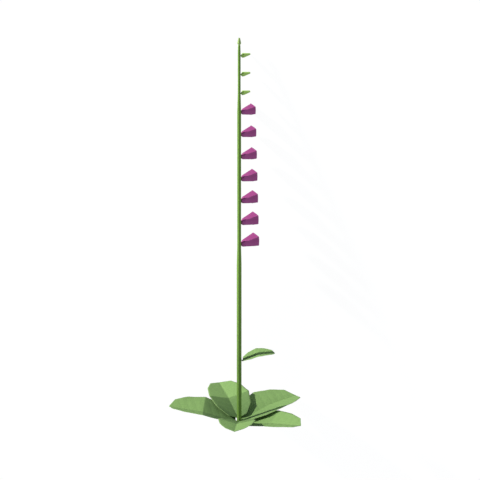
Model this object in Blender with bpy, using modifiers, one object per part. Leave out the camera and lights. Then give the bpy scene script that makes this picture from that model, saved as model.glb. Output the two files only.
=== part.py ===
"""Foxglove flower spike, cut with its rosette and laid down on a surface.

The plant is drawn as it grew, stem up along +Z, and every piece hangs on one empty.
At the end that empty turns the whole plant onto the side it rests on, with the spike
along +Y, its lowest point at z = 0 and its box centred on the origin.
"""
import math

import bmesh
import bpy
from mathutils import Matrix, Vector
from mathutils.bvhtree import BVHTree

# ---- driving dimensions, in metres and degrees, on the plant as it grew ----
PLANT_HEIGHT = 1.100
FIT_GAP = 0.0003
SIDES = 5                       # stem, buds and bells are all five-sided

# stem: height and corner radius, from the tip down to the cut
STEM_PROFILE = (
    (1.0819, 0.0033),
    (1.0620, 0.0042),
    (0.9524, 0.0042),
    (0.9007, 0.0058),
    (0.5235, 0.0059),
    (0.4718, 0.0073),
    (0.0000, 0.0074),
)
STEM_CORNER_AZIMUTH = 180.0

TIP_BUD_PROFILE = ((PLANT_HEIGHT, 0.0024), (1.0856, 0.0058), (1.0822, 0.0031))

# side buds: distance from the stem's axis and corner radius, from the tip in
BUD_PROFILE = ((0.0345, 0.0026), (0.0115, 0.0071), (0.0052, 0.0018))
BUD_HEIGHTS = (1.0510, 1.0006, 0.9502)
BUD_AZIMUTH = 36.0
BUD_RISE = 2.5

# bells: size of the lowest one, the six above it are smaller step by step
BELL_COUNT = 7
BELL_TOP_HEIGHT = 0.8989
BELL_SPACING = 0.0615
BELL_AZIMUTH = 45.0
SMALLEST_BELL = 0.79
BELL_WALL = 0.0008
# along the bell and corner radius, from the closed end to the mouth
BELL_SECTIONS = (
    (0.0005, 0.0044),
    (0.0095, 0.0108),
    (0.0525, 0.0208),
)

# inside each bell: the five stalks stand in a ring on one foot, first the style on top;
# each has its reach along the bell and where it ends, sideways and upward
FILAMENT_RADIUS = 0.0006
ANTHER_RADIUS = 0.0016
STAMEN_FOOT = (0.0021, 0.0020)
STALK_RING = 0.00125
STALKS = (
    (0.040, 0.0000, 0.0075),
    (0.030, -0.0044, 0.0046),
    (0.035, -0.0020, 0.0024),
    (0.035, 0.0020, 0.0024),
    (0.030, 0.0044, 0.0046),
)

# leaf outline: place along the leaf and half width, both as shares of its length
LEAF_OUTLINE = (
    (0.030, 0.156),
    (0.233, 0.289),
    (0.499, 0.341),
    (0.747, 0.288),
    (0.930, 0.180),
)
LEAF_KINK = 2                   # the station at which the leaf bends over
LEAF_THICKNESS = 0.0014
LEAF_ROOT = 0.0103              # where the blade starts, from the stem's axis
PETIOLE_HALF_WIDTH = 0.0034

# name, azimuth, length, root height, inner and outer rise, fold of the two halves
BASAL_LEAVES = (
    ("basal_leaf_1", 177.5, 0.192, 0.0070, 16.8, 8.8, 15.5),
    ("basal_leaf_2", 108.2, 0.180, 0.0135, 15.5, 7.5, 15.5),
    ("basal_leaf_3", 40.0, 0.203, 0.0085, 9.4, 0.6, 15.5),
    ("basal_leaf_4", -22.8, 0.176, 0.0022, 10.7, 5.1, 14.0),
    ("basal_leaf_5", -94.7, 0.158, 0.0115, 19.0, 9.5, 14.0),
)
STEM_LEAF = ("stem_leaf", 9.0, 0.092, 0.1910, 18.2, 1.5, 14.0)

# finishes: base colour, roughness
FINISHES = {
    "stem_green": ((0.16, 0.30, 0.06), 0.60),
    "leaf_green": ((0.25, 0.42, 0.15), 0.65),
    "bud_green": ((0.42, 0.60, 0.18), 0.60),
    "bell_pink": ((0.46, 0.08, 0.27), 0.50),
    "stamen_cream": ((0.80, 0.70, 0.42), 0.60),
}


def clear_scene():
    for item in list(bpy.data.objects):
        bpy.data.objects.remove(item, do_unlink=True)


def finish(name):
    colour, roughness = FINISHES[name]
    material = bpy.data.materials.new(name)
    material.use_nodes = True
    shader = material.node_tree.nodes["Principled BSDF"]
    shader.inputs["Base Color"].default_value = (*colour, 1.0)
    shader.inputs["Roughness"].default_value = roughness
    material.diffuse_color = (*colour, 1.0)
    return material


def mesh_from(name, verts, faces):
    """A mesh from points and faces, with its faces turned outward."""
    mesh = bpy.data.meshes.new(name)
    mesh.from_pydata([tuple(v) for v in verts], [], faces)
    work = bmesh.new()
    work.from_mesh(mesh)
    bmesh.ops.recalc_face_normals(work, faces=work.faces)
    work.to_mesh(mesh)
    work.free()
    return mesh


def add_piece(name, mesh, parts, plant, material):
    piece = bpy.data.objects.new(name, mesh)
    parts.objects.link(piece)
    piece.parent = plant
    mesh.materials.append(material)
    return piece


def heading(azimuth, rise=0.0):
    """Unit vector out from the stem, from +X towards +Y, lifted by rise."""
    flat = math.cos(math.radians(rise))
    return Vector((
        math.cos(math.radians(azimuth)) * flat,
        math.sin(math.radians(azimuth)) * flat,
        math.sin(math.radians(rise)),
    ))


def corners(radius, start=0.0):
    """Corners of the five-sided section, counted round from the start angle."""
    turns = [math.radians(start + 360.0 * k / SIDES) for k in range(SIDES)]
    return [(radius * math.cos(turn), radius * math.sin(turn)) for turn in turns]


def turned_piece(name, profile, parts, plant, material):
    """A five-sided turned solid about its own Z axis, first corner at its own +X."""
    points = [(0.0, profile[0][0])]
    points += [(radius, height) for height, radius in profile]
    points += [(0.0, profile[-1][0])]
    mesh = bpy.data.meshes.new(name)
    edges = [(k, k + 1) for k in range(len(points) - 1)]
    mesh.from_pydata([(x, 0.0, z) for x, z in points], edges, [])
    piece = add_piece(name, mesh, parts, plant, material)
    turn = piece.modifiers.new("turn", "SCREW")
    turn.axis = "Z"
    turn.angle = math.radians(360.0)
    turn.steps = SIDES
    turn.render_steps = SIDES
    turn.use_merge_vertices = True
    turn.merge_threshold = 0.0001
    turn.use_smooth_shade = False
    return piece


def stem_radius_at(height):
    """Corner radius of the stem at a height, read between its stations."""
    for (upper, r_up), (lower, r_low) in zip(STEM_PROFILE, STEM_PROFILE[1:]):
        if lower <= height <= upper:
            share = (height - lower) / (upper - lower)
            return r_low + share * (r_up - r_low)
    return STEM_PROFILE[-1][1]


def stem_reach(azimuth, height, half_width=0.0):
    """How far the stem's faceted side comes out in one direction, over a width."""
    half = math.pi / SIDES
    flat = stem_radius_at(height) * math.cos(half)
    reach = 0.0
    for step in range(-6, 7):
        offset = half_width * step / 6
        limits = []
        for k in range(SIDES):
            face = math.radians(STEM_CORNER_AZIMUTH - azimuth) + half + 2 * half * k
            if math.cos(face) > 0.05:
                limits.append((flat - offset * math.sin(face)) / math.cos(face))
        reach = max(reach, min(limits))
    return reach


def bud_place(height):
    """Where a side bud sits: its Z axis out from the stem, a corner level at its side."""
    out = heading(BUD_AZIMUTH, BUD_RISE)
    side = heading(BUD_AZIMUTH + 90.0)
    place = Matrix((side, out.cross(side), out)).transposed().to_4x4()
    place.translation = (0, 0, height)
    return place


def bell_size(index):
    """Share of the lowest bell's size; index 0 is the top bell."""
    return SMALLEST_BELL + (1.0 - SMALLEST_BELL) * index / (BELL_COUNT - 1)


def bell_frame(index):
    """Where a bell starts on the stem, with its outward, side and up directions."""
    height = BELL_TOP_HEIGHT - index * BELL_SPACING
    out = heading(BELL_AZIMUTH)
    side = heading(BELL_AZIMUTH - 90.0)
    start = stem_reach(BELL_AZIMUTH, height, BELL_SECTIONS[0][1]) + FIT_GAP
    return Vector((0, 0, height)) + out * start, out, side, Vector((0, 0, 1))


def make_bell(name, index):
    """An open five-sided bell, closed at the stem; Solidify gives it its wall."""
    foot, out, side, up = bell_frame(index)
    size = bell_size(index)
    verts = []
    for reach, radius in BELL_SECTIONS:
        for x, y in corners(radius, 180.0):
            verts.append(foot + size * (out * reach + side * x + up * y))
    faces = [tuple(range(SIDES))]
    for level in range(len(BELL_SECTIONS) - 1):
        for k in range(SIDES):
            a = level * SIDES + k
            b = level * SIDES + (k + 1) % SIDES
            faces.append((a, b, b + SIDES, a + SIDES))
    return mesh_from(name, verts, faces)


def add_wall(piece, thickness, offset):
    wall = piece.modifiers.new("wall", "SOLIDIFY")
    wall.thickness = thickness
    wall.offset = offset
    wall.use_even_offset = True


def stalk(points, radius, head):
    """A thin closed stalk along points that ends in a rounder head."""
    sides = 6
    rings = []
    for number, point in enumerate(points):
        ahead = points[min(number + 1, len(points) - 1)]
        behind = points[max(number - 1, 0)]
        along = (ahead - behind).normalized()
        across = along.cross(Vector((0, 1, 0))).normalized()
        third = across.cross(along)
        here = head if number == len(points) - 2 else radius
        turns = [2 * math.pi * k / sides for k in range(sides)]
        rings.append([
            point + across * here * math.cos(t) + third * here * math.sin(t) for t in turns
        ])
    verts = [v for ring in rings for v in ring]
    faces = [tuple(range(sides))]
    for level in range(len(rings) - 1):
        for k in range(sides):
            a = level * sides + k
            b = level * sides + (k + 1) % sides
            faces.append((a, b, b + sides, a + sides))
    faces.append(tuple((len(rings) - 1) * sides + k for k in range(sides)))
    return mesh_from("stalk", verts, faces)


def stamen_mesh(size, guides):
    """Four stamens and the style on one foot, in the bell's own directions:
    x out along the bell, y to its side, z up."""
    radius, depth = STAMEN_FOOT
    foot = bmesh.new()
    bmesh.ops.create_cone(
        foot, cap_ends=True, segments=10, radius1=radius * size, radius2=radius * size,
        depth=depth * size,
        matrix=Matrix.Translation((depth * size / 2, 0, 0)) @ Matrix.Rotation(math.pi / 2, 4, "Y"))
    foot_mesh = bpy.data.meshes.new("stamen_foot")
    foot.to_mesh(foot_mesh)
    foot.free()
    body = bpy.data.objects.new("stamen_body", foot_mesh)
    guides.objects.link(body)
    made = [body]
    for number, (y, z) in enumerate(corners(STALK_RING, 90.0)):
        reach, end_y, end_z = STALKS[number]
        begin = Vector((depth / 2, y, z))
        points = []
        for share in (0.0, 0.35, 0.70, 0.92, 0.97, 1.0):
            points.append(size * Vector((
                begin.x + (reach - begin.x) * share,
                begin.y + (end_y - begin.y) * share,
                begin.z + (end_z - begin.z) * share * share,
            )))
        head = ANTHER_RADIUS if number else FILAMENT_RADIUS * 1.4
        arm_mesh = stalk(points, FILAMENT_RADIUS * size, head * size)
        arm = bpy.data.objects.new("stamen_arm", arm_mesh)
        guides.objects.link(arm)
        made.append(arm)
        join = body.modifiers.new("join", "BOOLEAN")
        join.operation = "UNION"
        join.solver = "EXACT"
        join.object = arm
    bpy.context.view_layer.update()
    graph = bpy.context.evaluated_depsgraph_get()
    mesh = bpy.data.meshes.new_from_object(body.evaluated_get(graph))
    for item in made:
        bpy.data.objects.remove(item, do_unlink=True)
    return mesh


def make_stamens(name, index, guides):
    foot, out, side, up = bell_frame(index)
    size = bell_size(index)
    mesh = stamen_mesh(size, guides)
    inside = foot + out * (size * BELL_SECTIONS[0][0] + BELL_WALL + FIT_GAP)
    place = Matrix((
        (out.x, -side.x, up.x, inside.x),
        (out.y, -side.y, up.y, inside.y),
        (out.z, -side.z, up.z, inside.z),
        (0, 0, 0, 1),
    ))
    mesh.transform(place)
    mesh.name = name
    return mesh


def make_leaf(name, azimuth, length, root_height, inner_rise, outer_rise, fold):
    """A blade of two halves folded up from the midrib, bent over at its kink."""
    out = heading(azimuth)
    side = heading(azimuth + 90.0)
    up = Vector((0, 0, 1))
    kink = LEAF_OUTLINE[LEAF_KINK][0] * length
    root = Vector((0, 0, root_height)) + out * LEAF_ROOT
    inner = heading(azimuth, inner_rise)
    outer = heading(azimuth, outer_rise)

    def on_midrib(share):
        run = share * length
        return root + inner * min(run, kink) + outer * max(run - kink, 0.0)

    def station(share, half_width, rise):
        """Both margins and the midrib at one place along the leaf."""
        lift = heading(azimuth + 180.0, 90.0 - rise)
        middle = on_midrib(share)
        wide = side * half_width * math.cos(math.radians(fold))
        high = lift * half_width * math.sin(math.radians(fold))
        return [middle - wide + high, middle, middle + wide + high]

    start = stem_reach(azimuth, root_height, PETIOLE_HALF_WIDTH) + FIT_GAP
    petiole = Vector((0, 0, root_height)) + out * start
    rows = [[petiole - side * PETIOLE_HALF_WIDTH, petiole, petiole + side * PETIOLE_HALF_WIDTH]]
    rows.append([p + out * (LEAF_ROOT - start) for p in rows[0]])
    for number, (share, half_share) in enumerate(LEAF_OUTLINE):
        rise = inner_rise if number < LEAF_KINK else outer_rise
        if number == LEAF_KINK:
            rise = (inner_rise + outer_rise) / 2
        rows.append(station(share, half_share * length, rise))
    verts = [point for row in rows for point in row]
    verts.append(on_midrib(1.0))
    tip = len(verts) - 1
    faces = []
    for row in range(len(rows) - 1):
        a = 3 * row
        faces.append((a, a + 1, a + 4, a + 3))
        faces.append((a + 1, a + 2, a + 5, a + 4))
    last = 3 * (len(rows) - 1)
    faces.append((last, last + 1, tip))
    faces.append((last + 1, last + 2, tip))
    return mesh_from(name, verts, faces)


def solid_points_and_mass(pieces):
    """Every corner of the finished pieces, and the centre of their whole volume."""
    bpy.context.view_layer.update()
    graph = bpy.context.evaluated_depsgraph_get()
    points = []
    volume = 0.0
    moment = Vector((0, 0, 0))
    for piece in pieces:
        shaped = piece.evaluated_get(graph)
        mesh = shaped.to_mesh()
        place = piece.matrix_world
        mesh.calc_loop_triangles()
        world = [place @ v.co for v in mesh.vertices]
        points.extend(world)
        for triangle in mesh.loop_triangles:
            a, b, c = (world[k] for k in triangle.vertices)
            part = a.dot(b.cross(c)) / 6.0
            volume += part
            moment += part * (a + b + c) / 4.0
        shaped.to_mesh_clear()
    return points, moment / volume


def lay_down(plant, pieces):
    """Turn the plant onto the flat it falls on when it is laid on its far side."""
    points, centre = solid_points_and_mass(pieces)
    hull = bmesh.new()
    for point in points:
        hull.verts.new(point)
    bmesh.ops.convex_hull(hull, input=hull.verts)
    bmesh.ops.recalc_face_normals(hull, faces=hull.faces)
    tree = BVHTree.FromBMesh(hull)
    down = Vector((0, 1, 0))
    for _ in range(12):
        spot, normal, _, _ = tree.ray_cast(centre, down)
        down = normal if normal.dot(down) > 0 else -normal
    hull.free()
    up = -down
    along = (Vector((0, 0, 1)) - up * up.z).normalized()
    across = along.cross(up)
    turn = Matrix((across, along, up)).to_4x4()
    laid = [turn @ point for point in points]
    low = Vector([min(p[k] for p in laid) for k in range(3)])
    high = Vector([max(p[k] for p in laid) for k in range(3)])
    move = Vector((-(low.x + high.x) / 2, -(low.y + high.y) / 2, -low.z))
    plant.matrix_world = Matrix.Translation(move) @ turn


def build():
    clear_scene()
    scene = bpy.context.scene
    parts = bpy.data.collections.new("foxglove_spike")
    guides = bpy.data.collections.new("guides")
    scene.collection.children.link(parts)
    scene.collection.children.link(guides)
    plant = bpy.data.objects.new("plant", None)
    scene.collection.objects.link(plant)
    pieces = []

    def add(name, mesh, material):
        pieces.append(add_piece(name, mesh, parts, plant, material))
        return pieces[-1]

    def turn(name, profile, material, place):
        pieces.append(turned_piece(name, profile, parts, plant, material))
        pieces[-1].matrix_local = place

    bud_green = finish("bud_green")
    upright = Matrix.Rotation(math.radians(STEM_CORNER_AZIMUTH), 4, "Z")
    turn("flower_stem", STEM_PROFILE, finish("stem_green"), upright)
    turn("tip_bud", TIP_BUD_PROFILE, bud_green, upright)
    for number, height in enumerate(BUD_HEIGHTS, start=1):
        turn("bud_%d" % number, BUD_PROFILE, bud_green, bud_place(height))

    bell_pink = finish("bell_pink")
    cream = finish("stamen_cream")
    for index in range(BELL_COUNT):
        name = "bell_%d" % (index + 1)
        bell = add(name, make_bell(name, index), bell_pink)
        add_wall(bell, BELL_WALL, -1.0)
        name = "stamens_%d" % (index + 1)
        add(name, make_stamens(name, index, guides), cream)

    leaf_green = finish("leaf_green")
    for leaf in (*BASAL_LEAVES, STEM_LEAF):
        add_wall(add(leaf[0], make_leaf(*leaf), leaf_green), LEAF_THICKNESS, 0.0)

    lay_down(plant, pieces)


build()
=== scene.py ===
import math
import random

import bmesh
import bpy
from mathutils import Matrix, Vector, noise

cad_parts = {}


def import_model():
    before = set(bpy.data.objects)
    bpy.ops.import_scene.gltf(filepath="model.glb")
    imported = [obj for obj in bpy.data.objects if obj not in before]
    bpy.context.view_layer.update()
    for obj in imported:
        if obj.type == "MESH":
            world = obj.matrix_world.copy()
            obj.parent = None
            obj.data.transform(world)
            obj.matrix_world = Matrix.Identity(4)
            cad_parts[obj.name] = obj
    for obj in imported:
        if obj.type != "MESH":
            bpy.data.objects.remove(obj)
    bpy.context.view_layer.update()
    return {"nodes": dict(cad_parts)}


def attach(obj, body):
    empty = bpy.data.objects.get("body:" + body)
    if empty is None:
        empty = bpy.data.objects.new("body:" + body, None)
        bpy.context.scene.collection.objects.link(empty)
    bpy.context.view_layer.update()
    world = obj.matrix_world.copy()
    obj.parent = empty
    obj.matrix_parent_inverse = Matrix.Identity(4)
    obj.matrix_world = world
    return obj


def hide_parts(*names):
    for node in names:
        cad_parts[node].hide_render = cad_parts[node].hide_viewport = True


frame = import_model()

print("frame loaded:", len(frame["nodes"]), "nodes")
random.seed(11)


# the plant's own directions, read from the stem
def cornersOf(nodeName):
    # the node's corners, each once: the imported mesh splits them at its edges
    seen = {}
    for v in frame["nodes"][nodeName].data.vertices:
        seen[tuple(round(c, 5) for c in v.co)] = v.co.copy()
    return list(seen.values())


def middleOf(points):
    return sum(points, Vector()) / len(points)


def findPlant():
    # foot of the stem at the origin, +Z up the stem, one stem corner at -X
    endSlice = 0.004        # the stem's corners this near to an end belong to that end
    points = cornersOf("flower_stem")
    yEnd = max(points, key=lambda p: p.y) - min(points, key=lambda p: p.y)
    guess = yEnd.normalized()
    low = min(p.dot(guess) for p in points)
    high = max(p.dot(guess) for p in points)
    foot = [p for p in points if p.dot(guess) < low + endSlice]
    top = [p for p in points if p.dot(guess) > high - endSlice]
    along = (middleOf(top) - middleOf(foot)).normalized()
    away = min(foot, key=lambda p: p.x) - middleOf(foot)
    across = -(away - along * away.dot(along)).normalized()
    made = Matrix((across, along.cross(across), along)).transposed().to_4x4()
    made.translation = middleOf(foot)
    return made


plant = findPlant()
toPlant = plant.inverted()
print("plant foot", [round(v, 4) for v in plant.translation])
print("up the stem", [round(v, 3) for v in plant.col[2][:3]])


def heading(azimuth, rise=0.0):
    flat = math.cos(math.radians(rise))
    turn = math.radians(azimuth)
    return Vector((math.cos(turn) * flat, math.sin(turn) * flat, math.sin(math.radians(rise))))


# camera, light and floor
view = {
    "elevation": 18.7,      # above the level, on the plant as it grew
    "aim": (0.0018, 0.0, 0.5434),
    "distance": 4.9009,
    "lens": 135.75,
    "sensor": 36.0,
    "farEnd": 60.0,
}

# where each light stands on the plant as it grew, how strong and how wide it is
light = {
    "key": {"azimuth": 191.0, "elevation": 38.0, "strength": 4.5, "width": 2.5},
    "fill": {"azimuth": 335.0, "elevation": 8.0, "strength": 0.80, "width": 12.0},
    # a soft light on the leaves' undersides, from beyond the foot
    "back": {"azimuth": 200.0, "elevation": -58.0, "strength": 1.3, "width": 40.0},
}
sky = (0.22, 0.26, 0.315)

ground = {
    "half": 9.0,
    "tone": 0.07,
    "rough": 0.9,
    "glow": 0.95,           # the glow whitens the floor and its shadows
}


def makeCamera():
    tilt = math.radians(view["elevation"])
    ahead = Vector((0, math.cos(tilt), -math.sin(tilt)))
    up = Vector((0, math.sin(tilt), math.cos(tilt)))
    turn = Matrix((Vector((1, 0, 0)), up, -ahead)).transposed().to_4x4()
    stand = Vector(view["aim"]) - ahead * view["distance"]
    data = bpy.data.cameras.new("camera")
    data.lens = view["lens"]
    data.sensor_width = view["sensor"]
    data.clip_end = view["farEnd"]
    camera = bpy.data.objects.new("camera", data)
    bpy.context.scene.collection.objects.link(camera)
    camera.matrix_world = plant @ Matrix.Translation(stand) @ turn
    bpy.context.scene.camera = camera


def makeSun(name, azimuth, elevation, strength, width):
    data = bpy.data.lights.new(name, "SUN")
    data.energy = strength
    data.angle = math.radians(width)
    sun = bpy.data.objects.new(name, data)
    bpy.context.scene.collection.objects.link(sun)
    toward = plant.to_3x3() @ heading(azimuth, elevation)
    sun.rotation_mode = "QUATERNION"
    sun.rotation_quaternion = toward.to_track_quat("Z", "Y")


def makeLights():
    for name, look in light.items():
        makeSun(name, **look)
    world = bpy.data.worlds.new("sky")
    bpy.context.scene.world = world
    world.use_nodes = True
    back = world.node_tree.nodes["Background"]
    back.inputs["Color"].default_value = (*sky, 1)
    back.inputs["Strength"].default_value = 1.0


def makeFloor():
    mesh = bpy.data.meshes.new("floor")
    half = ground["half"]
    corners = [(-half, -half, 0), (half, -half, 0), (half, half, 0), (-half, half, 0)]
    mesh.from_pydata(corners, [], [(0, 1, 2, 3)])
    floor = bpy.data.objects.new("floor", mesh)
    bpy.context.scene.collection.objects.link(floor)
    paint = bpy.data.materials.new("paleFloor")
    paint.use_nodes = True
    shader = paint.node_tree.nodes["Principled BSDF"]
    shader.inputs["Base Color"].default_value = (ground["tone"],) * 3 + (1,)
    shader.inputs["Roughness"].default_value = ground["rough"]
    shader.inputs["Emission Color"].default_value = (1, 1, 1, 1)
    shader.inputs["Emission Strength"].default_value = ground["glow"]
    mesh.materials.append(paint)
    floor.visible_diffuse = False      # so its glow doesn't light the plant from below
    floor.visible_glossy = False


makeCamera()
makeLights()
makeFloor()
bpy.context.scene.view_settings.view_transform = "Standard"
print("camera, light and floor set")


# shader wiring
class Wire:
    tree = None      # the node tree that is being filled

    def __init__(self, socket):
        self.socket = socket

    @classmethod
    def node(cls, kind, settings=None, sockets=None, out=0):
        made = cls.tree.nodes.new(kind)
        for name, value in (settings or {}).items():
            setattr(made, name, value)
        for name, value in (sockets or {}).items():
            if isinstance(value, Wire):
                cls.tree.links.new(value.socket, made.inputs[name])
            else:
                made.inputs[name].default_value = value
        return cls(made.outputs[out])

    @staticmethod
    def maths(operation, first, second=0.0):
        return Wire.node("ShaderNodeMath", {"operation": operation}, {0: first, 1: second})

    def __add__(self, other):
        return self.maths("ADD", self, other)

    def __radd__(self, other):
        return self.maths("ADD", other, self)

    def __sub__(self, other):
        return self.maths("SUBTRACT", self, other)

    def __rsub__(self, other):
        return self.maths("SUBTRACT", other, self)

    def __mul__(self, other):
        return self.maths("MULTIPLY", self, other)

    def __rmul__(self, other):
        return self.maths("MULTIPLY", other, self)

    def __truediv__(self, other):
        return self.maths("DIVIDE", self, other)

    def __rtruediv__(self, other):
        return self.maths("DIVIDE", other, self)

    def __abs__(self):
        return self.maths("ABSOLUTE", self)

    def clipped(self):
        return Wire.node("ShaderNodeClamp", {}, {"Value": self, "Min": 0.0, "Max": 1.0})

    def step(self, low, high):
        settings = {"interpolation_type": "SMOOTHSTEP"}
        return Wire.node("ShaderNodeMapRange", settings, {0: self, 1: low, 2: high})


def colourMix(share, first, second):
    def full(colour):
        return colour if isinstance(colour, Wire) else (*colour, 1.0)
    settings = {"data_type": "RGBA", "blend_type": "MIX"}
    return Wire.node("ShaderNodeMix", settings, {0: share, 6: full(first), 7: full(second)}, out=2)


def ownPlace():
    return Wire.node("ShaderNodeTexCoord", {}, {}, out=3)


def joined(x, y, z=0.0):
    return Wire.node("ShaderNodeCombineXYZ", {}, {0: x, 1: y, 2: z})


def grain(scale, detail=3.0, at=None):
    sockets = {"Vector": at or ownPlace(), "Scale": scale, "Detail": detail, "Roughness": 0.55}
    return Wire.node("ShaderNodeTexNoise", {}, sockets)


def spot():
    # each point's own place on its piece: what the three numbers mean is said at the piece
    read = Wire.node("ShaderNodeAttribute", {"attribute_name": "spot"}, {}, out=1)
    parts = Wire.tree.nodes.new("ShaderNodeSeparateXYZ")
    Wire.tree.links.new(read.socket, parts.inputs[0])
    return [Wire(socket) for socket in parts.outputs]


def newPaint(name):
    paint = bpy.data.materials.new(name)
    paint.use_nodes = True
    Wire.tree = paint.node_tree
    return paint, paint.node_tree.nodes["Principled BSDF"]


def dress(shader, colour, roughness, height, bump, gloss=None):
    # bump is its strength and distance
    sockets = {"Strength": bump[0], "Distance": bump[1], "Height": height}
    raised = Wire.node("ShaderNodeBump", {}, sockets)
    for name, value in (("Base Color", colour), ("Roughness", roughness), ("Normal", raised)):
        Wire.tree.links.new(value.socket, shader.inputs[name])
    if gloss is not None:
        shader.inputs["Specular IOR Level"].default_value = gloss


# meshes
def makePiece(name, points, spots, faces, paint, node):
    # points are on the plant as it grew; the piece is laid down with the plant
    mesh = bpy.data.meshes.new(name)
    mesh.from_pydata([plant @ p for p in points], [], faces)
    mark = mesh.attributes.new("spot", "FLOAT_VECTOR", "POINT")
    mark.data.foreach_set("vector", [c for s in spots for c in s])
    work = bmesh.new()
    work.from_mesh(mesh)
    bmesh.ops.recalc_face_normals(work, faces=work.faces)
    work.to_mesh(mesh)
    work.free()
    mesh.shade_smooth()
    mesh.materials.append(paint)
    piece = bpy.data.objects.new(name, mesh)
    bpy.context.scene.collection.objects.link(piece)
    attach(piece, "root")
    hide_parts(node)
    return piece


def tubeFaces(rows, around, first=0):
    faces = []
    for row in range(rows - 1):
        for k in range(around):
            a = first + row * around + k
            b = first + row * around + (k + 1) % around
            faces.append((a, b, b + around, a + around))
    return faces


def capFaces(start, around):
    return [tuple(start + k for k in range(around))]


def softCorners(sides, perSide, soften):
    # a regular outline of radius 1 with its corners eased, first corner at angle 0
    flat = []
    for side in range(sides):
        a = 2 * math.pi * side / sides
        b = 2 * math.pi * (side + 1) / sides
        for k in range(perSide):
            share = k / perSide
            flat.append(((1 - share) * math.cos(a) + share * math.cos(b),
                         (1 - share) * math.sin(a) + share * math.sin(b)))
    ring = []
    count = len(flat)
    for k in range(count):
        near = [flat[(k + step) % count] for step in range(-soften, soften + 1)]
        ring.append((sum(p[0] for p in near) / len(near), sum(p[1] for p in near) / len(near)))
    return ring


def between(stations, x):
    # each number of a station table at x, read straight between its stations
    for low, high in zip(stations, stations[1:]):
        if x <= high[0] or high is stations[-1]:
            share = (x - low[0]) / (high[0] - low[0])
            return [a + share * (b - a) for a, b in zip(low[1:], high[1:])]


def eased(stations, x, width):
    # the same, with the corners of the table rounded over a width
    low, high = stations[0][0], stations[-1][0]
    width = min(width, x - low, high - x)
    if width <= 0:
        return between(stations, x)
    steps = [-1.0, -0.5, 0.0, 0.5, 1.0]
    reads = [between(stations, x + width * s) for s in steps]
    return [sum(r[k] for r in reads) / len(reads) for k in range(len(reads[0]))]


# stem
stemLook = {
    "perSide": 14,
    "soften": 1,
    "step": 0.0045,
    "ease": 0.006,
    "wobble": 0.00012,
    "cutEdge": 0.965,       # the rim of the cut is drawn in a little
    # rings on the cut foot, as share of the radius and depth, then the pith's own depth
    "cut": ((0.90, -0.0003), (0.62, 0.0003), (0.50, 0.0011)),
    "pith": 0.0015,
    "ragged": 0.00025,
    "lit": (0.182, 0.325, 0.050),
    # foot is the painted shade colour that darkens the lower stem towards the rosette
    "foot": (0.112, 0.205, 0.036),
    "streak": (0.140, 0.270, 0.042),
    "fleck": (0.24, 0.42, 0.09),
    "bump": (0.35, 0.0006),
    "gloss": 0.25,
}


def stemStations():
    # height and corner radius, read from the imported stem's own rings
    rings = {}
    for p in cornersOf("flower_stem"):
        local = toPlant @ p
        radius = math.hypot(local.x, local.y)
        if radius > 0.001:
            rings.setdefault(round(local.z, 3), []).append(radius)
    return sorted((z, sum(r) / len(r)) for z, r in rings.items())


def paintStem():
    paint, shader = newPaint("stemGreen")
    height, around, _ = spot()
    streaks = grain(1.0, 2.0, joined(around * 60.0, height * 9.0))
    mottle = grain(260.0, 2.0)
    # painted shade: darker from 0.45 m up the stem down to its foot, by the rosette
    base = colourMix((1.0 - height * 2.2).clipped(), stemLook["lit"], stemLook["foot"])
    colour = colourMix(streaks.step(0.45, 0.75) * 0.45, base, stemLook["streak"])
    colour = colourMix(mottle.step(0.62, 0.80) * 0.25, colour, stemLook["fleck"])
    relief = streaks * 0.7 + mottle * 0.3
    dress(shader, colour, 0.5 + mottle * 0.2, relief, stemLook["bump"], stemLook["gloss"])
    return paint


def makeStem():
    look = stemLook
    stations = stemStations()
    ring = softCorners(5, look["perSide"], look["soften"])
    around = len(ring)
    top = stations[-1][0]
    footRadius = stations[0][1]
    rows = int(top / look["step"])
    points, spots = [], []
    for row in range(rows + 1):
        z = top * row / rows
        radius = eased(stations, z, look["ease"])[0]
        if row == 0:
            radius *= look["cutEdge"]
        for x, y in ring:
            r = radius + look["wobble"] * noise.noise(Vector((x * 3, y * 3, z * 40)))
            points.append(Vector((-r * x, -r * y, z)))
            spots.append((z, math.atan2(y, x) / math.tau, 0.0))
    faces = tubeFaces(rows + 1, around)
    first = len(points)
    for share, depth in look["cut"]:
        r = footRadius * share
        for x, y in ring:
            ragged = look["ragged"] * noise.noise(Vector((x * 9, y * 9, share * 7)))
            points.append(Vector((-r * x, -r * y, depth + ragged)))
            spots.append((0.0, 0.0, 1.0 - share))
    points.append(Vector((0, 0, look["pith"])))
    spots.append((0.0, 0.0, 1.0))
    last = len(points) - 1
    for k in range(around):
        beside = (k + 1) % around
        faces.append((k, beside, first + beside, first + k))
        faces.append((last - around + k, last - around + beside, last))
    faces += tubeFaces(len(look["cut"]), around, first)
    faces += capFaces(rows * around, around)
    return makePiece("stem", points, spots, faces, paintStem(), "flower_stem")


makeStem()
print("stem made")


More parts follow.
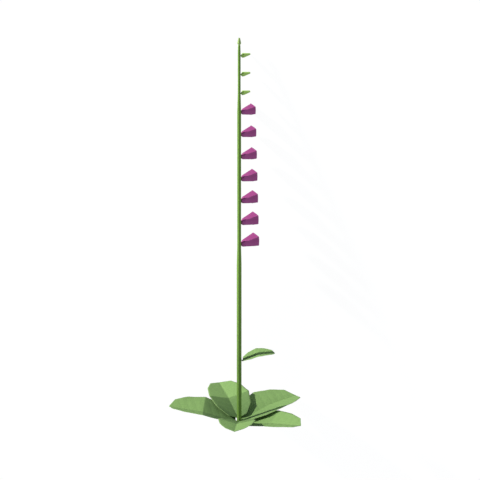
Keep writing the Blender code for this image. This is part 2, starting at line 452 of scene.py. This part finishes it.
# leaves
leafLook = {
    "along": 110,
    "across": 15,            # on each side of the midrib
    "thick": 0.0011,
    "crease": 0.020,         # how far the midrib's fold is eased, as a share of the half width
    "ease": 0.006,           # rounding of the outline's corners, as a share of the length
    "ribDeep": 0.0007,
    "ribBelow": 0.0020,
    "ribWide": 0.0022,
    "veinGap": 0.115,        # side veins' spacing, as a share of the length
    "veinSweep": 0.85,       # how far a vein runs forward for each step outward
    "veinDeep": 0.00030,
    "veinWide": 0.0017,
    "quilt": 0.00035,
    "tooth": 0.0009,
    "teeth": 30,
    "bend": 0.509,           # where the leaf bends over, as a share of the length
    "long": 0.13,            # a leaf longer than this gets all its rows
    "thinnest": 0.0008,      # least half width
    "stalk": 0.004,          # half width up to which it is a leaf stalk, without veins
    "widening": 0.012,
    "closing": 0.05,         # the last share of the length, where veins die out
    "reach": 0.002,          # how far either way the leaf's direction is read
    "spread": 1.15,          # crowds the columns towards the midrib
    "ripple": 0.0011,
    "toothed": 0.8,          # share of the half width outside which the margin is toothed
    "rim": 0.93,             # and outside which it thins to its edge
    "rimThick": 0.12,
    "lit": (0.240, 0.392, 0.122),
    # deep is the painted shade colour of the half next to the stem; it also gives the fine dark mottle
    "deep": (0.080, 0.145, 0.046),
    "vein": (0.30, 0.46, 0.160),
    "edge": (0.28, 0.40, 0.14),
    "under": (0.30, 0.43, 0.20),
    "bump": (0.30, 0.0008),
    "gloss": 0.2,
}


def leafRows(nodeName):
    # left margin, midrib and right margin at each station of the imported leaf, then its tip
    points = [toPlant @ p for p in cornersOf(nodeName)]
    tip = max(points, key=lambda p: math.hypot(p.x, p.y))
    out = Vector((tip.x, tip.y, 0)).normalized()
    side = Vector((-out.y, out.x, 0))
    order = sorted(points, key=lambda p: p.dot(out))
    rows = []
    for k in range(0, len(order) - 2, 6):
        six = sorted(order[k:k + 6], key=lambda p: p.dot(side))
        rows.append([middleOf(six[0:2]), middleOf(six[2:4]), middleOf(six[4:6])])
    end = middleOf(order[-2:])
    rows.append([end, end, end])
    return rows


def leafStations(rows):
    stations = []
    run = 0.0
    for number, (left, middle, right) in enumerate(rows):
        if number:
            run += (middle - rows[number - 1][1]).length
        stations.append((run, *left, *middle, *right))
    return stations, run


def paintLeaf(name, paintedShade, shadeTowardsStem, oneSideShade):
    # painted shade: the three numbers after the name darken the half next to the stem, darken it further
    # towards the stem, and add to it on the left half of the blade
    look = leafLook
    paint, shader = newPaint(name)
    along, across, below = spot()       # share of the length, share of the half width, 1 underneath
    outward = abs(across)
    fine = grain(170.0, 4.0)
    broad = grain(14.0, 2.0)
    sweep = along / look["veinGap"] - outward * look["veinSweep"] * (1.35 - outward * 0.35)
    ridge = 1.0 - Wire.maths("PINGPONG", sweep, 0.5) * 2.0
    veins = ridge.step(0.86, 1.0) * (1.0 - outward * 0.75).clipped()
    rib = (1.0 - outward / 0.05).clipped()
    mark = Wire.maths("MAXIMUM", veins, rib)
    # painted shade on the half next to the stem, deepening towards the stem and on the left half of the
    # blade
    inner = 1.0 - along.step(look["bend"] - 0.012, look["bend"] + 0.012)
    left = across.step(-0.03, 0.03) * oneSideShade
    shade = inner * (paintedShade + left + (look["bend"] - along) * shadeTowardsStem) + (broad - 0.5) * 0.22
    shade = shade.clipped()
    base = colourMix(shade, look["lit"], look["deep"])
    colour = colourMix(fine.step(0.40, 0.75) * 0.10, base, look["deep"])
    colour = colourMix(mark * (1.0 - shade * 0.6) * 0.30, colour, look["vein"])
    colour = colourMix(outward.step(0.93, 1.0) * 0.5, colour, look["edge"])
    colour = colourMix(below * 0.8, colour, look["under"])
    settings = {"feature": "DISTANCE_TO_EDGE"}
    cells = Wire.node("ShaderNodeTexVoronoi", settings, {"Vector": ownPlace(), "Scale": 230.0})
    relief = cells.step(0.0, 0.25) * 0.6 + fine * 0.4
    dress(shader, colour, 0.55 + fine * 0.2, relief, look["bump"], look["gloss"])
    return paint


def makeLeaf(name, nodeName, paint):
    stations, length = leafStations(leafRows(nodeName))
    look = leafLook
    alongCount = look["along"] if length > look["long"] else look["along"] // 2
    columns = 2 * look["across"] + 1
    upper, lower, spots, under = [], [], [], []
    phase = random.random() * 10
    for row in range(alongCount + 1):
        share = row / alongCount
        x = length * share
        read = eased(stations, x, look["ease"] * length)
        ahead = eased(stations, min(x + look["reach"], length), look["ease"] * length)
        behind = eased(stations, max(x - look["reach"], 0.0), look["ease"] * length)
        left, middle, right = Vector(read[0:3]), Vector(read[3:6]), Vector(read[6:9])
        wide, high = (right - left) / 2, (right + left) / 2 - middle
        half = max(wide.length, look["thinnest"])
        if wide.length < look["thinnest"]:
            wide = (wide.normalized() if wide.length > 1e-6 else lastWide) * look["thinnest"]
        lastWide = wide.normalized()
        forward = (Vector(ahead[3:6]) - Vector(behind[3:6])).normalized()
        up = forward.cross(lastWide).normalized()
        if up.z < 0:
            up = -up
        blade = min(1.0, max(0.0, (half - look["stalk"]) / look["widening"]))
        closing = min(1.0, (1.0 - share) / look["closing"])
        for column in range(columns):
            t = (column - look["across"]) / look["across"]
            t = math.copysign(abs(t) ** look["spread"], t)
            d = abs(t)
            fold = math.sqrt(t * t + look["crease"] ** 2) - look["crease"]
            tooth = 1.0
            if d > look["toothed"]:
                wave = abs(math.sin(math.pi * look["teeth"] * share + phase))
                near = (d - look["toothed"]) / (1.0 - look["toothed"])
                tooth += look["tooth"] * (wave - 0.6) * near * blade * closing / half
            point = middle + wide * t * tooth + high * fold
            ripple = noise.noise(Vector((share * 7 + phase, t * 1.5, phase)))
            ripple *= look["ripple"] * blade * d * d
            sweep = share / look["veinGap"] - d * look["veinSweep"] * (1.35 - d * 0.35)
            gap = abs(sweep - round(sweep)) * look["veinGap"] * length
            vein = math.exp(-(gap / look["veinWide"]) ** 2) * blade * (1 - 0.7 * d) * closing
            rib = math.exp(-(d * half / look["ribWide"]) ** 2) * (1 - 0.7 * share)
            puff = math.cos(2 * math.pi * sweep + math.pi) * 0.5 + 0.5
            puff *= look["quilt"] * blade * min(1.0, d * 4) * (1 - d * 0.8) * closing
            edge = math.sqrt(max(0.0, 1 - max(0.0, (d - look["rim"]) / (1.0 - look["rim"])) ** 2))
            body = look["thick"] * (0.35 + 0.65 * edge) * 0.5
            if d >= 1.0:
                body = look["thick"] * look["rimThick"]
            top = ripple + puff + body - vein * look["veinDeep"] - rib * look["ribDeep"] * blade
            bottom = ripple + puff - body - vein * look["veinDeep"] * 1.3 - rib * look["ribBelow"]
            upper.append(point + up * top)
            lower.append(point + up * bottom)
            spots.append((share, t, 0.0))
            under.append((share, t, 1.0))
    faces = []
    sheet = len(upper)
    for row in range(alongCount):
        for column in range(columns - 1):
            a = row * columns + column
            faces.append((a, a + 1, a + 1 + columns, a + columns))
            faces.append((sheet + a, sheet + a + columns, sheet + a + 1 + columns, sheet + a + 1))
        a = row * columns
        faces.append((a, a + columns, sheet + a + columns, sheet + a))
        b = a + columns - 1
        faces.append((b, sheet + b, sheet + b + columns, b + columns))
    for column in range(columns - 1):
        a, b = column, alongCount * columns + column
        faces.append((a, sheet + a, sheet + a + 1, a + 1))
        faces.append((b, b + 1, sheet + b + 1, sheet + b))
    return makePiece(name, upper + lower, spots + under, faces, paint, nodeName)


# painted shade of each rosette leaf: on the half next to the stem, its deepening towards the stem, and
# its addition on the left half
leafPaintedShades = (
    (0.66, 0.65, 0.0),
    (0.50, 0.55, 0.16),
    (0.22, 0.30, 0.0),
    (0.22, 0.30, 0.0),
    (0.25, 0.90, 0.0),
)
for number, paintedShade in enumerate(leafPaintedShades, start=1):
    leafPaint = paintLeaf("leafGreen%d" % number, *paintedShade)
    makeLeaf("rosette_leaf_%d" % number, "basal_leaf_%d" % number, leafPaint)
# the stem leaf's painted shade, lighter than the rosette leaves'
stemLeafPaint = paintLeaf("stemLeafGreen", 0.10, 0.20, 0.0)
makeLeaf("small_stem_leaf", "stem_leaf", stemLeafPaint)
print("leaves made")


# bells
bellLook = {
    "azimuth": 45.0,
    # along the bell and corner radius
    "sections": (
        (0.0005, 0.0044),
        (0.0095, 0.0108),
        (0.0525, 0.0208),
    ),
    "perSide": 14,
    "soften": 1,
    "step": 0.0012,
    "ease": 0.0013,
    "wall": 0.0007,
    "endSlice": 0.0002,      # corners this near to the closed end belong to it
    "lobe": 0.0007,          # how far each side of the mouth bows out past its corners
    "lip": 0.10,             # the last share of the length, where it bows and flares
    "flare": 0.0005,
    "wave": 0.00022,
    "outer": (0.400, 0.074, 0.245),
    "pale": (0.54, 0.13, 0.36),
    "vein": (0.33, 0.052, 0.205),
    "throat": (0.80, 0.62, 0.70),
    "spot": (0.16, 0.01, 0.05),
    "ring": (0.92, 0.86, 0.86),
    "bump": (0.30, 0.0006),
    "gloss": 0.2,
}


def bellPlace(nodeName):
    # foot, size, and the outward, side and up directions of a packed bell
    points = [toPlant @ p for p in cornersOf(nodeName)]
    out = heading(bellLook["azimuth"])
    side = heading(bellLook["azimuth"] - 90.0)
    near = min(p.dot(out) for p in points)
    far = max(p.dot(out) for p in points)
    first, last = bellLook["sections"][0], bellLook["sections"][-1]
    size = (far - near) / (last[0] - first[0])
    # the closed end has five corners, one level at the back and the highest 72 degrees from it
    foot = [p for p in points if p.dot(out) < near + bellLook["endSlice"]]
    height = max(p.z for p in foot) - first[1] * size * math.sin(math.radians(72.0))
    start = near - first[0] * size
    return out * start + Vector((0, 0, height)), size, out, side, Vector((0, 0, 1))


def paintBell():
    look = bellLook
    paint, shader = newPaint("bellPink")
    along, around, inside = spot()       # share of the length, turn from the top, 1 inside
    fine = grain(140.0, 3.0)
    streaks = grain(1.0, 3.0, joined(around * 26.0, along * 1.6))
    fade = (0.75 - along * 1.1 + (fine - 0.5) * 0.3).clipped()
    colour = colourMix(fade * 0.45, look["outer"], look["pale"])
    colour = colourMix(streaks.step(0.50, 0.72) * 0.35, colour, look["vein"])
    colour = colourMix((along.step(0.93, 1.0)) * 0.35, colour, look["pale"])
    # the underside is paler than the back of the bell
    fromBelow = abs(around - 0.5)
    colour = colourMix((1.0 - fromBelow * 2.0).step(0.42, 0.60) * 0.25, colour, look["pale"])
    # inside: a pale throat, darker towards the lip, with ringed spots along the floor of the bell
    lower = 1.0 - fromBelow * 5.5
    fade = (lower.clipped() * 0.75 + (1.0 - along) * 0.4).clipped()
    throat = colourMix(fade, look["pale"], look["throat"])
    grid = joined(around * 34.0, along * 13.0, 3.0)
    sockets = {"Vector": grid, "Scale": 1.0, "Randomness": 0.75}
    cells = Wire.node("ShaderNodeTexVoronoi", {"voronoi_dimensions": "2D"}, sockets)
    wanted = lower.step(0.05, 0.35) * along.step(0.25, 0.40)
    throat = colourMix((1.0 - cells.step(0.30, 0.40)) * wanted, throat, look["ring"])
    throat = colourMix((1.0 - cells.step(0.17, 0.23)) * wanted, throat, look["spot"])
    colour = colourMix(inside, colour, throat)
    relief = streaks * 0.6 + fine * 0.4
    dress(shader, colour, 0.42 + fine * 0.2, relief, look["bump"], look["gloss"])
    return paint


def makeBell(name, nodeName, paint):
    look = bellLook
    foot, size, out, side, up = bellPlace(nodeName)
    sections = look["sections"]
    ring = softCorners(5, look["perSide"], look["soften"])
    around = len(ring)
    length = sections[-1][0]
    rows = int((length - sections[0][0]) / look["step"])
    points, spots = [], []

    def addRing(x, shrink, push, layer):
        radius = eased(sections, x, look["ease"])[0]
        share = x / length
        for k, (cx, cy) in enumerate(ring):
            turn = math.atan2(cy, cx)
            corner = abs(math.sin(2.5 * turn))          # 0 at a corner, 1 in the middle of a side
            lip = max(0.0, (share - (1.0 - look["lip"])) / look["lip"])
            bow = look["lobe"] * corner * lip * lip
            flare = look["flare"] * lip * lip
            r = radius + flare - shrink / size
            high, wide = -r * cy, -r * cx
            forward = x + bow + push
            wave = look["wave"] * noise.noise(Vector((cx * 2.2, cy * 2.2, x * 120 + foot.z * 9)))
            high -= cy * wave
            wide -= cx * wave
            points.append(foot + size * (out * forward + side * wide + up * high))
            # the turn is counted from the top
            spots.append((share, (turn / math.tau + 0.25) % 1.0, layer))

    first = sections[0][0]
    for row in range(rows + 1):
        addRing(first + (length - first) * row / rows, 0.0, 0.0, 0.0)
    addRing(length, look["wall"] * 0.5, look["wall"] * 0.35, 0.5)
    innerStart = first + look["wall"] * 1.6
    for row in range(rows, -1, -1):
        x = innerStart + (length - innerStart) * row / rows
        addRing(x, look["wall"], 0.0, 1.0)
    faces = tubeFaces(2 * rows + 3, around)
    faces += capFaces(0, around)
    faces += capFaces((2 * rows + 2) * around, around)
    return makePiece(name, points, spots, faces, paint, nodeName)


bellPaint = paintBell()
for number in range(1, 8):
    makeBell("bell_flower_%d" % number, "bell_%d" % number, bellPaint)
print("bells made")


# stamens
stamenLook = {
    "start": 0.0011,         # gap between the bell's closed end and the foot
    "foot": (0.0021, 0.0020),
    "ring": 0.00125,
    "filament": 0.00052,
    "anther": (0.0021, 0.00105, 0.00095),
    # reach along the bell, and where each ends, sideways and upward; the style first
    "stalks": (
        (0.040, 0.0, 0.0075),
        (0.030, -0.0044, 0.0046),
        (0.035, -0.0020, 0.0024),
        (0.035, 0.0020, 0.0024),
        (0.030, 0.0044, 0.0046),
    ),
    "stalkRows": 14,
    "sides": 8,
    "antherRings": 6,
    "forked": (0.0006, 0.0004),     # where the style's two tips stand, ahead and apart
    "tip": (0.0010, 0.0004, 0.0005),
    "paired": 0.0009,               # how far the two halves of an anther stand apart
    "root": (0.80, 0.66, 0.62),
    "cream": (0.85, 0.78, 0.60),
    "pollen": (0.85, 0.62, 0.22),
    "bump": (0.4, 0.0002),
}


def paintStamens():
    paint, shader = newPaint("stamenCream")
    along, anther, _ = spot()            # share of the stalk, 1 on an anther
    fine = grain(900.0, 2.0)
    colour = colourMix(along.step(0.0, 0.5), stamenLook["root"], stamenLook["cream"])
    colour = colourMix(anther * (0.75 + fine * 0.25), colour, stamenLook["pollen"])
    dress(shader, colour, 0.6 + fine * 0.2, fine, stamenLook["bump"])
    return paint


def makeStamens(name, nodeName, bellNode, paint):
    look = stamenLook
    foot, size, out, side, up = bellPlace(bellNode)
    inside = foot + out * (size * bellLook["sections"][0][0] + look["start"])
    points, spots, faces = [], [], []
    sides = look["sides"]

    def world(v):
        return inside + size * (out * v.x - side * v.y + up * v.z)

    def tube(path, radii, shares, anther):
        first = len(points)
        for number, (p, r) in enumerate(zip(path, radii)):
            ahead = path[min(number + 1, len(path) - 1)] - path[max(number - 1, 0)]
            ahead.normalize()
            across = ahead.cross(Vector((0, 1, 0))).normalized()
            third = across.cross(ahead)
            for k in range(sides):
                t = math.tau * k / sides
                points.append(world(p + across * r * math.cos(t) + third * r * math.sin(t)))
                spots.append((shares[number], anther, 0.0))
        faces.extend(tubeFaces(len(path), sides, first))
        faces.extend(capFaces(first, sides))
        faces.extend(capFaces(first + (len(path) - 1) * sides, sides))

    def ball(middle, long, wide, deep, along):
        first = len(points)
        rings = look["antherRings"]
        across = along.cross(Vector((0, 1, 0))).normalized()
        third = across.cross(along)
        for row in range(1, rings):
            lat = math.pi * row / rings
            for k in range(sides):
                t = math.tau * k / sides
                p = middle - along * long * math.cos(lat)
                p += (across * wide * math.cos(t) + third * deep * math.sin(t)) * math.sin(lat)
                points.append(world(p))
                spots.append((1.0, 1.0, 0.0))
        faces.extend(tubeFaces(rings - 1, sides, first))
        faces.extend(capFaces(first, sides))
        faces.extend(capFaces(first + (rings - 2) * sides, sides))

    radius, depth = look["foot"]
    rimAt = [Vector((x, 0, 0)) for x in (0.0, 0.0004, depth * 0.8, depth)]
    tube(rimAt, [radius * 0.9, radius, radius * 0.8, radius * 0.45], [0, 0, 0, 0], 0.0)
    for number, (reach, endY, endZ) in enumerate(look["stalks"]):
        turn = math.radians(90 + 72 * number)
        begin = Vector((depth * 0.4, look["ring"] * math.cos(turn), look["ring"] * math.sin(turn)))
        path = []
        steps = look["stalkRows"]
        for k in range(steps + 1):
            share = k / steps
            path.append(Vector((
                begin.x + (reach - begin.x) * share,
                begin.y + (endY - begin.y) * share,
                begin.z + (endZ - begin.z) * share * share,
            )))
        shares = [k / steps for k in range(steps + 1)]
        radii = [look["filament"] * (1.15 - 0.35 * s) for s in shares]
        tube(path, radii, shares, 0.0)
        along = (path[-1] - path[-2]).normalized()
        if number:
            long, wide, deep = look["anther"]
            for turnSide in (-1, 1):
                lean = (along * 0.35 + Vector((0, turnSide, 0))).normalized()
                ball(path[-1] + Vector((0, turnSide * look["paired"], 0)), long * 0.75, wide, deep, lean)
        else:
            ahead, apart = look["forked"]
            for turnSide in (-1, 1):
                ball(path[-1] + Vector((ahead, 0, turnSide * apart)), *look["tip"], along)
    return makePiece(name, points, spots, faces, paint, nodeName)


stamenPaint = paintStamens()
for number in range(1, 8):
    makeStamens("stamen_group_%d" % number, "stamens_%d" % number, "bell_%d" % number, stamenPaint)
print("stamens made")


# buds
budLook = {
    "azimuth": 36.0,
    "rise": 2.5,
    # out along the bud, corner radius
    "side": ((0.0052, 0.0018), (0.0115, 0.0071), (0.0345, 0.0026)),
    "tip": ((1.0822, 0.0031), (1.0856, 0.0058), (1.1000, 0.0024)),
    "perSide": 14,
    "soften": 1,
    "rows": 36,
    "endSlice": 0.0006,      # corners this near to the lowest belong to the bud's foot
    "ease": 0.035,           # rounding of the widest part, as a share of the length
    "seam": 0.00035,
    # how the closed end folds in: share of the end's radius and how far it sinks
    "folds": ((0.80, -0.0004), (0.50, -0.0002), (0.22, 0.0005)),
    "notch": 0.0005,
    "mouth": 0.0004,
    "lit": (0.46, 0.70, 0.150),
    "pale": (0.50, 0.74, 0.20),
    "deep": (0.38, 0.60, 0.110),
    "top": (0.34, 0.46, 0.15),
    "bump": (0.3, 0.0005),
    "gloss": 0.25,
}


def paintBud():
    paint, shader = newPaint("budGreen")
    along, around, top = spot()         # share of the length, turn, 1 on the bud at the tip
    fine = grain(240.0, 3.0)
    streaks = grain(1.0, 2.0, joined(around * 40.0, along * 2.0))
    colour = colourMix(along.step(0.55, 1.0) * 0.6, budLook["lit"], budLook["pale"])
    colour = colourMix(streaks.step(0.48, 0.72) * 0.35, colour, budLook["deep"])
    colour = colourMix(top * 0.85, colour, budLook["top"])
    relief = streaks * 0.6 + fine * 0.4
    dress(shader, colour, 0.48 + fine * 0.2, relief, budLook["bump"], budLook["gloss"])
    return paint


def makeBud(name, nodeName, stations, place, paint, top=0.0):
    look = budLook
    ring = softCorners(5, look["perSide"], look["soften"])
    around = len(ring)
    low, high = stations[0][0], stations[-1][0]
    points, spots = [], []
    for row in range(look["rows"] + 1):
        share = row / look["rows"]
        x = low + (high - low) * share
        radius = eased(stations, x, (high - low) * look["ease"])[0]
        for cx, cy in ring:
            turn = math.atan2(cy, cx)
            middle = abs(math.sin(2.5 * turn))
            seam = look["seam"] * math.exp(-((1 - middle) / 0.04)) * min(1.0, share * 3)
            r = radius - seam
            points.append(place @ Vector((r * cx, r * cy, x)))
            spots.append((share, turn / math.tau % 1.0, top))
    faces = tubeFaces(look["rows"] + 1, around)
    # the closed end folds in to a small dimple between the petals' tips
    for shrink, sink in look["folds"]:
        for cx, cy in ring:
            turn = math.atan2(cy, cx)
            middle = abs(math.sin(2.5 * turn))
            notch = look["notch"] * math.exp(-((1 - middle) / 0.10))
            r = stations[-1][1] * shrink
            points.append(place @ Vector((r * cx, r * cy, high - sink - notch - look["mouth"])))
            spots.append((1.0, turn / math.tau % 1.0, top))
    faces += tubeFaces(4, around, look["rows"] * around)
    faces += capFaces(0, around)
    faces += capFaces((look["rows"] + 3) * around, around)
    return makePiece(name, points, spots, faces, paint, nodeName)


def sideBudPlace(nodeName):
    # a side bud's own Z runs out along it, with a corner level at its back
    out = heading(budLook["azimuth"], budLook["rise"])
    side = heading(budLook["azimuth"] + 90.0)
    points = [toPlant @ p for p in cornersOf(nodeName)]
    flat = heading(budLook["azimuth"])
    low = min(points, key=lambda p: p.dot(flat))
    near = [p for p in points if p.dot(out) < low.dot(out) + budLook["endSlice"]]
    base = middleOf(near)
    place = Matrix((side, out.cross(side), out)).transposed().to_4x4()
    place.translation = base - out * budLook["side"][0][0]
    return place


budPaint = paintBud()
for number in range(1, 4):
    nodeName = "bud_%d" % number
    makeBud("side_bud_%d" % number, nodeName, budLook["side"], sideBudPlace(nodeName), budPaint)
topPlace = Matrix.Rotation(math.pi, 4, "Z")
makeBud("top_bud", "tip_bud", budLook["tip"], topPlace, budPaint, 1.0)
print("buds made")
